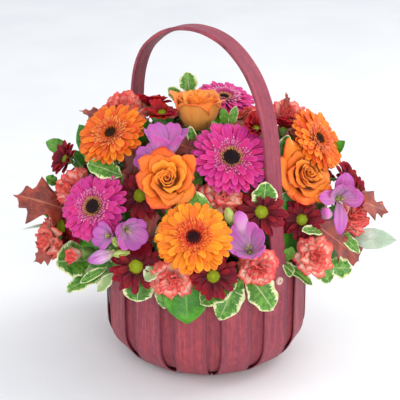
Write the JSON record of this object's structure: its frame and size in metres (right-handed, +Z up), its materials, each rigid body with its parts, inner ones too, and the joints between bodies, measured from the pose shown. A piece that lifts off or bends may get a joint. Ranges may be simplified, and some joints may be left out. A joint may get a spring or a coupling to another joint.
{
  "type": "flower basket arrangement",
  "caption": "Round slatted wooden basket with a hoop handle, filled with a dome of mixed cut flowers and foliage standing in foam.",
  "frame": {"origin": "centre of the underside of the base board, the face the basket rests on", "axes": "+Z up; -Y towards the front of the arrangement; the hoop handle stands in the vertical plane turned 42 degrees from the front towards +X"},
  "size_m": [0.3856, 0.2829, 0.3374],
  "materials": {
    "stained_wood_dark": "matt stain, open grain, darker inner layer",
    "stained_wood": "matt stain, open grain",
    "peg_wood": "sawn dowel end, lightly stained",
    "liner_plastic": "thin black film",
    "gerbera_orange": "satin petal",
    "gerbera_pink": "satin petal",
    "gerbera_yellow": "satin petal",
    "rose_petal": "velvety petal",
    "carnation_petal": "papery petal with pale streaks",
    "chrysanthemum_petal": "velvety petal with lime green disc",
    "freesia_petal": "translucent petal",
    "variegated_leaf": "waxy leaf, cream margin",
    "oak_leaf": "glossy red-brown leaf",
    "salal_leaf": "glossy green leaf",
    "foam": "wet open-cell floral foam"
  },
  "bodies": {
    "root": {"base_board": "stained_wood_dark", "outer_strip_1": "stained_wood", "outer_strip_2": "stained_wood", "outer_strip_3": "stained_wood", "outer_strip_4": "stained_wood", "outer_strip_5": "stained_wood", "outer_strip_6": "stained_wood", "outer_strip_7": "stained_wood", "inner_strip_1": "stained_wood_dark", "inner_strip_2": "stained_wood_dark", "inner_strip_3": "stained_wood_dark", "inner_strip_4": "stained_wood_dark", "inner_strip_5": "stained_wood_dark", "inner_strip_6": "stained_wood_dark", "inner_strip_7": "stained_wood_dark", "rim_hoop": "stained_wood_dark", "handle": "stained_wood", "peg_near": "peg_wood", "peg_far": "peg_wood", "liner": "liner_plastic", "gerbera_orange_left": "gerbera_orange", "gerbera_pink_left": "gerbera_pink", "gerbera_pink_centre": "gerbera_pink", "gerbera_yellow_front": "gerbera_yellow", "gerbera_pink_top": "gerbera_pink", "gerbera_orange_right": "gerbera_orange", "gerbera_orange_back": "gerbera_orange", "gerbera_pink_back": "gerbera_pink", "rose_top": "rose_petal", "rose_centre": "rose_petal", "rose_right": "rose_petal", "rose_back": "rose_petal", "carnation_left": "carnation_petal", "carnation_top": "carnation_petal", "carnation_front": "carnation_petal", "carnation_right": "carnation_petal", "carnation_back": "carnation_petal", "chrysanthemum_front": "chrysanthemum_petal", "chrysanthemum_left": "chrysanthemum_petal", "chrysanthemum_right": "chrysanthemum_petal", "chrysanthemum_side": "chrysanthemum_petal", "chrysanthemum_top": "chrysanthemum_petal", "chrysanthemum_back": "chrysanthemum_petal", "freesia_upper": "freesia_petal", "freesia_left": "freesia_petal", "freesia_front": "freesia_petal", "freesia_right": "freesia_petal", "freesia_back": "freesia_petal", "pittosporum_left": "variegated_leaf", "pittosporum_front": "variegated_leaf", "pittosporum_right": "variegated_leaf", "pittosporum_top": "variegated_leaf", "pittosporum_back": "variegated_leaf", "oak_left": "oak_leaf", "oak_mid": "oak_leaf", "oak_right": "oak_leaf", "oak_back": "oak_leaf", "salal_front": "salal_leaf", "salal_left": "salal_leaf", "floral_foam": "foam"}
  },
  "joints": []
}
